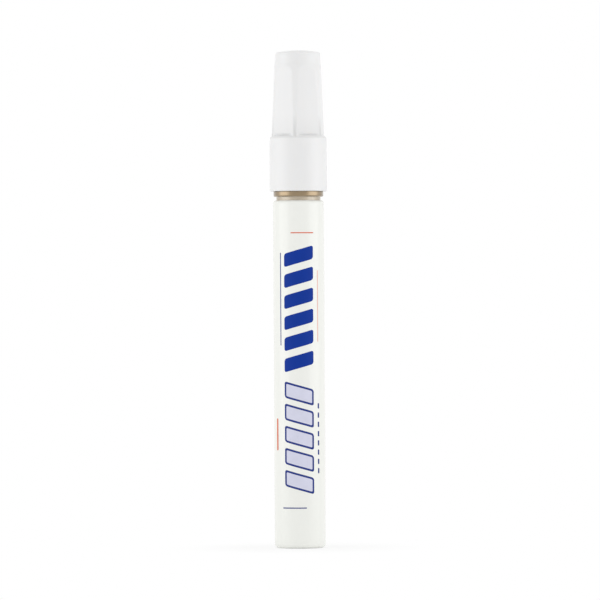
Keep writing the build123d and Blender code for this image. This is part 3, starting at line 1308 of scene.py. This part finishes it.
@dataclass
class Studio:
    """White floor, even surround, softboxes on both sides and overhead, and the camera; lengths in metres."""

    image: int = 600
    foot_row: float = 547.6
    cap_row: float = 50.5
    axis_column: float = 299.0
    lean: float = 0.32
    lens: float = 320.0
    sensor: float = 36.0
    surround: float = 0.785
    lamp_power: float = 1.3
    lamp_distance: float = 0.65
    lamp_angle: float = 72.0
    lamp_height: float = 0.09
    lamp_width: float = 0.6
    lamp_tall: float = 0.4
    top_power: float = 0.5
    top_height: float = 0.95
    top_size: float = 0.7
    floor_radius: float = 4.0
    floor_sides: int = 96
    floor_drop: float = 0.00002
    shadow_share: float = 0.3
    shadow_near: float = 0.008
    shadow_far: float = 0.04
    board: str = "#FCFCFC"

    def shown_ray(self, tree: Tree) -> Socket:
        """Tells the rays that show the backdrop from those that only light the marker.

        Args:
            tree: Node tree of the world or the floor.

        Returns:
            1 for camera, mirror and see-through rays, and 0 for the rest.
        """
        path = add_node(tree, "ShaderNodeLightPath")
        seen = path.outputs["Is Camera Ray"]
        for name in ("Is Glossy Ray", "Is Transmission Ray"):
            either = {0: seen, 1: path.outputs[name]}
            seen = add_node(tree, "ShaderNodeMath", {"operation": "MAXIMUM"}, either).outputs[0]
        return seen

    def light_surround(self) -> None:
        """Makes the world: white to look at, a plain even light on the marker."""
        world = bpy.data.worlds.new("white_surround")
        bpy.context.scene.world = world
        world.use_nodes = True
        tree = world.node_tree
        tree.nodes.clear()
        levels = {"To Min": self.surround, "To Max": 1.0}
        level = add_node(tree, "ShaderNodeMapRange", levels, {"Value": self.shown_ray(tree)})
        glow = add_node(tree, "ShaderNodeBackground", {"Color": (1, 1, 1, 1)}, {"Strength": level.outputs[0]})
        add_node(tree, "ShaderNodeOutputWorld", None, {"Surface": glow.outputs[0]})

    def hang_lamp(
        self, name: str, place: Vector, aim: Vector, size: tuple[float, float], power: float
    ) -> None:
        """Hangs one softbox that the camera doesn't see.

        Args:
            name: Name of the softbox.
            place: Where its middle hangs.
            aim: The point that it faces.
            size: Its width and height.
            power: Its power in watts.
        """
        lamp = bpy.data.lights.new(name, "AREA")
        lamp.shape = "RECTANGLE"
        lamp.size, lamp.size_y = size
        lamp.energy = power
        stand = bpy.data.objects.new(name, lamp)
        stand.location = place
        stand.rotation_euler = (aim - place).to_track_quat("-Z", "Y").to_euler()
        stand.visible_camera = False
        bpy.context.scene.collection.objects.link(stand)

    def hang_lamps(self) -> None:
        """Hangs a softbox on each side and a weaker one overhead."""
        middle = Vector((0, 0, self.lamp_height))
        size = (self.lamp_width, self.lamp_tall)
        for side in Side:
            angle = FRONT + side.value * math.radians(self.lamp_angle)
            out = Vector((math.cos(angle), math.sin(angle), 0)) * self.lamp_distance
            self.hang_lamp(f"softbox_{side.name.lower()}", middle + out, middle, size, self.lamp_power)
        above = Vector((0, 0, self.top_height))
        self.hang_lamp("softbox_top", above, middle, (self.top_size, self.top_size), self.top_power)

    # Painted board: a plain matt white that takes a soft shadow close to the marker's foot
    def floor_finish(self) -> bpy.types.Material:
        """Makes the floor's paint, which keeps the marker's shadow and fades to white around it.

        Returns:
            The material.
        """
        board = bpy.data.materials.new("painted_board")
        board.use_nodes = True
        tree = board.node_tree
        tree.nodes.clear()
        span = {
            "interpolation_type": "SMOOTHSTEP",
            "From Min": self.shadow_near,
            "From Max": self.shadow_far,
            "To Min": 1 - self.shadow_share,
            "To Max": 1.0,
        }
        fade = add_node(tree, "ShaderNodeMapRange", span, {"Value": off_axis(tree)})
        both = {0: self.shown_ray(tree), 1: fade.outputs[0]}
        white = add_node(tree, "ShaderNodeMath", {"operation": "MULTIPLY"}, both)
        matt = add_node(tree, "ShaderNodeBsdfDiffuse", {"Color": linear(self.board)})
        glow = add_node(tree, "ShaderNodeEmission", {"Strength": 1.0})
        blend = {0: white.outputs[0], 1: matt.outputs[0], 2: glow.outputs[0]}
        mixed = add_node(tree, "ShaderNodeMixShader", None, blend)
        add_node(tree, "ShaderNodeOutputMaterial", None, {"Surface": mixed.outputs[0]})
        return board

    def lay_floor(self) -> None:
        """Lays the pale floor."""
        draft = bmesh.new()
        bmesh.ops.create_circle(draft, cap_ends=True, segments=self.floor_sides, radius=self.floor_radius)
        bmesh.ops.translate(draft, vec=(0, 0, -self.floor_drop), verts=draft.verts)
        mesh = bpy.data.meshes.new("floor")
        draft.to_mesh(mesh)
        draft.free()
        mesh.materials.append(self.floor_finish())
        floor = bpy.data.objects.new("floor", mesh)
        bpy.context.scene.collection.objects.link(floor)

    def place_camera(self) -> None:
        """Puts the camera level with the marker's middle, far off, as the photograph was taken."""
        tall = cad_box[1].z - cad_box[0].z
        pixel = tall / (self.foot_row - self.cap_row)
        middle = self.image / 2
        aim = Vector(((middle - self.axis_column) * pixel, 0, (self.foot_row - middle) * pixel))
        lens = bpy.data.cameras.new("camera")
        lens.lens = self.lens
        lens.sensor_width = self.sensor
        away = self.image * pixel * self.lens / self.sensor
        camera = bpy.data.objects.new("camera", lens)
        facing = Matrix.Rotation(math.pi / 2, 4, "X") @ Matrix.Rotation(math.radians(-self.lean), 4, "Z")
        camera.matrix_world = Matrix.Translation(aim + Vector((0, -away, 0))) @ facing
        bpy.context.scene.collection.objects.link(camera)
        bpy.context.scene.camera = camera

    def build(self) -> None:
        """Sets up the studio."""
        self.light_surround()
        self.hang_lamps()
        self.lay_floor()
        self.place_camera()
        bpy.context.scene.view_settings.view_transform = "Standard"
        log.info("studio: surround %.2f, three softboxes", self.surround)


def main() -> None:
    """Builds the marker from the barrel up, then its valve, then the studio round it."""
    logging.basicConfig(level=logging.INFO, format="%(name)s: %(message)s")
    for assembly in (Barrel, BarrelPrint, Collar, Holder, Nib, Cap, Liner, Valve, Studio):
        assembly().build()


if __name__ == "__main__":
    main()
